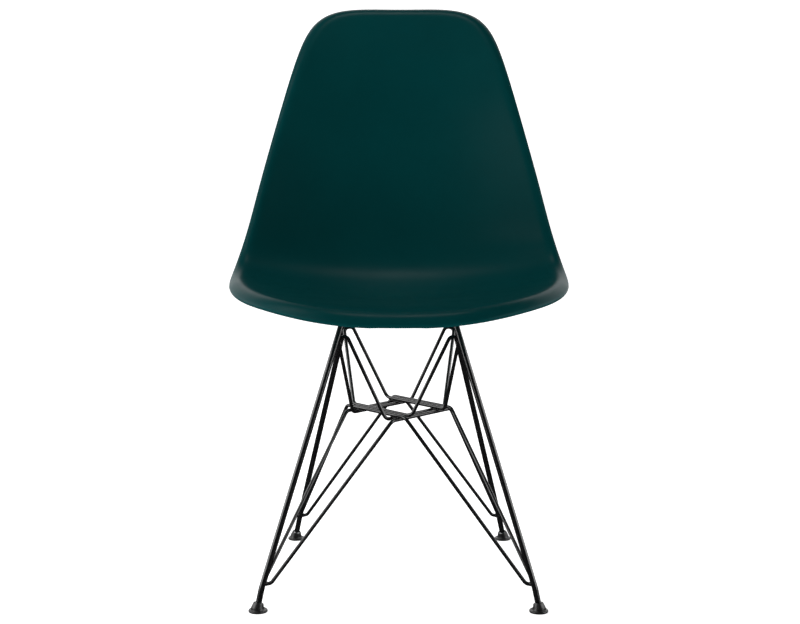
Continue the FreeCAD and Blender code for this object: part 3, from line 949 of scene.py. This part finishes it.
def mount_mesh():
    """Rubber disc with round edges and a groove round its waist."""
    half = MOUNT_HEIGHT / 2
    low = rounded(MOUNT_RADIUS, 0, half - MOUNT_WAIST, MOUNT_BEVEL)
    high = rounded(MOUNT_RADIUS, half + MOUNT_WAIST, MOUNT_HEIGHT, MOUNT_BEVEL)
    groove = [(MOUNT_RADIUS - MOUNT_WAIST, half)]
    return mesh_of("shock_mount", ring_piece(low + groove + high, 0, MOUNT_HEIGHT))


def washer_mesh():
    """Flat washer with broken edges."""
    outer = rounded(WASHER_RADIUS, -WASHER_THICKNESS, 0, WASHER_BEVEL)
    return mesh_of("screw_washer", ring_piece(outer, -WASHER_THICKNESS, 0))


def screw_mesh():
    """Pan head with a six-sided socket, and a shank with a rolled thread."""
    low = -WASHER_THICKNESS - HEAD_HEIGHT
    socket_top = low + SOCKET_DEPTH
    profile = [(4 * TRACE, socket_top + 6 * TRACE), (SOCKET_RADIUS * 0.98, socket_top, 6),
               (SOCKET_RADIUS, low + 2 * TRACE, 6), (SOCKET_RADIUS * 1.14, low)]
    profile += rounded(HEAD_RADIUS, low, low + HEAD_CROWN, HEAD_BEVEL)[:HEAD_EDGE_POINTS]
    profile += [(HEAD_RADIUS, -WASHER_THICKNESS - TRACE),
                (HEAD_RADIUS - TRACE, -WASHER_THICKNESS)]
    z = -WASHER_THICKNESS
    while z < -WASHER_THICKNESS + THREAD_LENGTH - THREAD_PITCH:
        profile += [(THREAD_RADIUS - THREAD_DEPTH, z), (THREAD_RADIUS, z + THREAD_PITCH / 2)]
        z += THREAD_PITCH
    profile += [(THREAD_RADIUS - THREAD_DEPTH - TRACE, z),
                (THREAD_RADIUS - 2 * THREAD_DEPTH, z + THREAD_PITCH / 2)]
    return mesh_of("mounting_screw", turned(profile))


LEVEL_PLATES = [p + Vector((0, 0, PLATE_LOW_Z - TOP_BAR_Z)) for p in SCREW_PLACES.values()]
washers = copies("washers", washer_mesh(), LEVEL_PLATES, ZINC)
screws = copies("screws", screw_mesh(), LEVEL_PLATES, ZINC)
mounts = copies("rubber_mounts", mount_mesh(),
                [p + Vector((0, 0, PLATE_THICKNESS)) for p in LEVEL_PLATES], RUBBER)
print("hardware:", [(o.name, len(o.data.polygons)) for o in (washers, screws, mounts)])

# %% [markdown]
# The plates are cut from strip: straight where they lie on the bar, half round at the screw. The
# outline is drawn once, and the Bevel modifier breaks the edges that a press would leave.

# %% Mount plates
PLATE_HALF_WIDTH = 0.012
PLATE_EDGE_BREAK = 0.00035
PLATE_ARC_STEPS = 24


def plate_outline(place, side):
    """Outline of a plate seen from above, anticlockwise for the right-hand side."""
    bar_edge = place.x + SIDES[side] * (SCREW_OFFSET + ROD_RADIUS)
    points = [(bar_edge, place.y - PLATE_HALF_WIDTH), (bar_edge, place.y + PLATE_HALF_WIDTH)]
    for k in range(PLATE_ARC_STEPS + 1):
        angle = math.radians(90 + 180 * k / PLATE_ARC_STEPS)
        x = place.x + SIDES[side] * PLATE_HALF_WIDTH * math.cos(angle)
        points.append((x, place.y + PLATE_HALF_WIDTH * math.sin(angle)))
    return points if side == "right" else points[::-1]


def make_plates():
    """All four plates as one piece, with broken edges."""
    solids = []
    for (end, side), place in SCREW_PLACES.items():
        outline = plate_outline(place, side)
        count = len(outline)
        points = [(x, y, z) for z in (PLATE_LOW_Z, MOUNT_LOW_Z) for x, y in outline]
        faces = [tuple(range(count))[::-1], tuple(range(count, 2 * count))]
        faces += [(i, (i + 1) % count, count + (i + 1) % count, count + i) for i in range(count)]
        solids.append((points, faces))
    plates = show("mount_plates", mesh_of("mount_plates", *solids))
    plates.data.materials.append(POWDER_COAT)
    bevel = plates.modifiers.new("edge", "BEVEL")
    bevel.width, bevel.segments, bevel.limit_method = PLATE_EDGE_BREAK, 3, "ANGLE"
    bevel.angle_limit = math.radians(50)
    bevel.harden_normals = True
    return plates


plates = make_plates()
print("plates:", len(plates.data.polygons), "faces before the bevel")

# %% [markdown]
# The bosses come last, because each one reaches from its mount up to the shell's underside, and
# the seat isn't level. They go into the same mesh as the skins.

# %% Shell with its bosses
BOSS_RADIUS, BOSS_DRAFT = 0.010, 0.001
BOSS_FLARE, FLARE_STEPS = 0.0016, 5
BOSS_BURIED = 0.0012
BOSS_BEVEL = 0.0003


def underside_height(place):
    """Height of the shell's underside over a place on the floor."""
    gaps = np.hypot(UNDERSIDE[:, 0] - place.x, UNDERSIDE[:, 1] - place.y)
    return float(UNDERSIDE[np.argmin(gaps), 2])


def boss(place):
    """Drafted boss that flares into the wall."""
    top = underside_height(place) - BOSS_LOW_Z
    high_radius = BOSS_RADIUS + BOSS_DRAFT / 2
    profile = [(BOSS_RADIUS - BOSS_BEVEL, 0), (BOSS_RADIUS, BOSS_BEVEL),
               (high_radius, top - BOSS_FLARE)]
    for k in range(1, FLARE_STEPS + 1):
        angle = math.radians(90 * k / FLARE_STEPS)
        radius = high_radius + BOSS_FLARE * (1 - math.cos(angle))
        profile.append((radius, top - BOSS_FLARE + BOSS_FLARE * math.sin(angle)))
    profile.append((profile[-1][0], top + BOSS_BURIED))
    return turned(profile, centre=(place.x, place.y, BOSS_LOW_Z))


bosses = [boss(place) for place in SCREW_PLACES.values()]
shell = show("shell", mesh_of("shell", (SKIN_POINTS, SKIN_FACES), *bosses))
shell.data.materials.append(SHELL_PLASTIC)
print("shell:", len(shell.data.polygons), "faces")

# %% [markdown]
# ## Glides
#
# A glide levels itself: its foot stays flat on the floor while its neck leans with the leg. The
# skin is drawn through rings that start level on the floor and lean over one by one, then turn
# inwards over the lip and go down into the socket that grips the ball. Each ring is given by its
# radius and height in millimetres and the share of the leg's lean that it takes.

# %% Glides
GLIDE_RINGS = (
    (0.3, 0.5, 0.0), (8.0, 0.5, 0.0), (8.5, 0.0, 0.0), (11.3, 0.0, 0.0), (11.95, 0.2, 0.0),
    (12.35, 0.65, 0.0), (12.5, 1.3, 0.0), (12.5, 2.1, 0.0), (12.3, 2.8, 0.0), (11.85, 3.3, 0.0),
    (11.2, 3.55, 0.0), (10.5, 3.5, 0.05), (9.9, 3.2, 0.1), (9.5, 3.05, 0.2), (9.2, 3.3, 0.35),
    (8.95, 4.0, 0.6), (8.6, 5.2, 0.9), (8.05, 7.0, 1.0), (7.4, 9.2, 1.0), (6.9, 10.8, 1.0),
    (6.65, 11.5, 1.0), (6.25, 12.05, 1.0), (5.7, 12.3, 1.0), (5.2, 12.25, 1.0), (4.9, 12.0, 1.0),
)
SOCKET_RING_RADII = (4.85, 5.9, 6.25, 6.3, 6.1, 5.2, 3.6, 1.4)
SOCKET_UPPER_RINGS = 4
SOCKET_SPHERE_RADIUS = 6.3
MM = 0.001


def make_glide(end, side):
    """Levelling foot round the ball of one leg."""
    ball = on_side(leg_corners(end)[0], side)
    axis = on_side(foot_axis(end), side)
    upright = Vector((0, 0, 1))
    rings = []
    for radius, height, lean in GLIDE_RINGS:
        way = upright.lerp(axis, lean).normalized()
        shift = axis * ((height * MM - BALL_Z) / axis.z) * lean
        centre = Vector((ball.x + shift.x, ball.y + shift.y, height * MM))
        rings.append(ring(centre, way, radius * MM))
    for k, radius in enumerate(SOCKET_RING_RADII):
        half = 1 if k < SOCKET_UPPER_RINGS else -1
        depth = half * math.sqrt(SOCKET_SPHERE_RADIUS ** 2 - radius ** 2)
        rings.append(ring(ball + axis * depth * MM, axis, radius * MM))
    glide = show("foot_%s_%s" % (end, side), mesh_of("foot", skin_rings(rings)))
    glide.data.materials.append(NYLON)
    return glide


glides = {corner: make_glide(*corner) for corner in CORNERS}
print("glides:", [thing.name for thing in glides.values()])

# %% [markdown]
# ## Putting the pieces on the frame
#
# Every piece now rides on the body it moves with, and the construction nodes that it stands for
# are hidden. The brass inserts and the steel balls are right as they are and only take a finish.

# %% Ride and replace
corner_names = ["%s_%s" % corner for corner in CORNERS]
dressing = [
    (shell, "chair", "shell_plastic", ["seat_shell"]),
    (welds, "chair", "frame_metal", []),
    (plates, "chair", "frame_metal", ["mount_plate_" + name for name in corner_names]),
    (mounts, "chair", "mount_rubber", ["shock_mount_" + name for name in corner_names]),
    (washers, "chair", "screw_steel", ["screw_washers"]),
    (screws, "chair", "screw_steel", ["mounting_screws"]),
]
for side, thing in side_frames.items():
    dressing.append((thing, "chair", "frame_metal", ["side_frame_" + side]))
for name, thing in zip(corner_names, struts.values()):
    dressing.append((thing, "chair", "frame_metal", ["strut_wire_" + name]))
for node, thing in braces.items():
    dressing.append((thing, "chair", "frame_metal", [node]))
for name, thing in zip(corner_names, glides.values()):
    dressing.append((thing, "glide_" + name, "glide_plastic", ["glide_" + name]))
for thing, body, slot, nodes in dressing:
    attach(thing, body)
    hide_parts(*nodes)
for name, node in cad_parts.items():
    node.data.materials.clear()
    node.data.materials.append(BRASS if name == "threaded_inserts" else BALL_STEEL)

# %% [markdown]
# ## Studio
#
# The picture was made on white paper that runs along the floor and curves up behind, so that no
# corner shows. The paper behind draws the pale patches at the sides of the seat, where the
# plastic is seen at a low angle. The black rods mirror the floor rather than the wall, and in the
# picture their edges are quite dark, so reflections skip the floor. Beyond the paper lies a plain
# white world that only the camera sees.


# %% Paper
FLOOR_FRONT, FLOOR_BACK, PAPER_HALF_WIDTH = -5.0, 3.2, 7.0
PAPER_CURVE, PAPER_TOP = 1.6, 5.0
PAPER_CURVE_STEPS = 24
PAPER_GLOW = 0.85


def paper_strip(name, profile):
    """A sheet as wide as the set through (y, z) places."""
    points = [(x, y, z) for y, z in profile for x in (-PAPER_HALF_WIDTH, PAPER_HALF_WIDTH)]
    faces = [(2 * i, 2 * i + 1, 2 * i + 3, 2 * i + 2) for i in range(len(profile) - 1)]
    mesh = bpy.data.meshes.new(name)
    mesh.from_pydata(points, [], faces)
    mesh.shade_smooth()
    return show(name, mesh)


def paper_curve():
    """Places of the curve behind the chair and the wall above it."""
    turns = [math.radians(90 * k / PAPER_CURVE_STEPS) for k in range(PAPER_CURVE_STEPS + 1)]
    profile = [(FLOOR_BACK + PAPER_CURVE * math.sin(turn), PAPER_CURVE * (1 - math.cos(turn)))
               for turn in turns]
    return profile + [(FLOOR_BACK + PAPER_CURVE, PAPER_TOP)]


def paper_finish():
    """Matt white paper with the faintest mottle, glowing like an overexposed sweep."""
    material, tree, shader, place = new_finish("sweep_paper")
    mottle = spread(tree, noise_on(tree, place, 3.0, 2.0), 0.0, 1.0)
    colour = mix_colours(tree, mottle, (0.90, 0.90, 0.90), (0.92, 0.92, 0.92))
    link_nodes(tree, colour, shader.inputs["Base Color"])
    shader.inputs["Roughness"].default_value = 0.9
    shader.inputs["Specular IOR Level"].default_value = 0.1
    shader.inputs["Emission Color"].default_value = (1.0, 1.0, 1.0, 1.0)
    shader.inputs["Emission Strength"].default_value = PAPER_GLOW
    return material


floor = paper_strip("floor", [(FLOOR_FRONT, 0.0), (FLOOR_BACK, 0.0)])
backdrop = paper_strip("backdrop", paper_curve())
floor.visible_glossy = False
paper = paper_finish()
for sheet in (floor, backdrop):
    sheet.data.materials.append(paper)
print("paper:", [(sheet.name, len(sheet.data.polygons)) for sheet in (floor, backdrop)])

# %% [markdown]
# The light is soft and comes mostly from the left. Two low boxes and two long panels stand at
# the sides. A thick rod mirrors the panels as one pale stripe on its outer side, and they add
# nothing else, so they only show in reflections.

# %% Lights
CHAIR_MIDDLE = Vector((0.0, 0.0, 0.45))
LEG_MIDDLE = Vector((0.0, 0.0, 0.30))
PANEL_MIDDLE = Vector((0.0, 0.0, 0.9))
SOFT_LIGHTS = (
    ("overhead", (0.0, 0.45, 2.7), (0.5, 0.4), 7.2, CHAIR_MIDDLE),
    ("left_high", (-1.6, 0.0, 2.3), (1.0, 1.4), 18.5, CHAIR_MIDDLE),
    ("left_front", (-1.7, -1.7, 2.4), (1.0, 1.0), 11.5, CHAIR_MIDDLE),
    ("left_low", (-1.9, -0.9, 1.0), (0.9, 1.4), 12.0, LEG_MIDDLE),
    ("right_low", (1.9, -0.9, 1.0), (0.9, 1.4), 12.0, LEG_MIDDLE),
)
SIDE_PANELS = (
    ("left_panel", (-2.0, 0.0, 0.9), (2.6, 1.4), 31.0, PANEL_MIDDLE),
    ("right_panel", (2.0, 0.0, 0.9), (2.6, 1.4), 27.0, PANEL_MIDDLE),
)
WORLD_STRENGTH = 0.9


def soft_light(name, place, size, power, aim):
    """A rectangular soft box."""
    data = bpy.data.lights.new(name, "AREA")
    data.shape = "RECTANGLE"
    data.size, data.size_y = size
    data.energy = power
    lamp = bpy.data.objects.new(name, data)
    lamp.location = place
    lamp.rotation_euler = (aim - Vector(place)).to_track_quat("-Z", "Y").to_euler()
    bpy.context.scene.collection.objects.link(lamp)
    return lamp


def white_world():
    """A plain world for the camera alone."""
    world = bpy.data.worlds.new("studio")
    world.use_nodes = True
    background = world.node_tree.nodes["Background"]
    background.inputs["Color"].default_value = (1.0, 1.0, 1.0, 1.0)
    background.inputs["Strength"].default_value = WORLD_STRENGTH
    world.cycles_visibility.diffuse = False
    world.cycles_visibility.glossy = False
    return world


for values in SOFT_LIGHTS:
    soft_light(*values)
for values in SIDE_PANELS:
    soft_light(*values).visible_diffuse = False
bpy.context.scene.world = white_world()
bpy.context.scene.view_settings.view_transform = "Standard"
print("lights:", [values[0] for values in SOFT_LIGHTS + SIDE_PANELS])
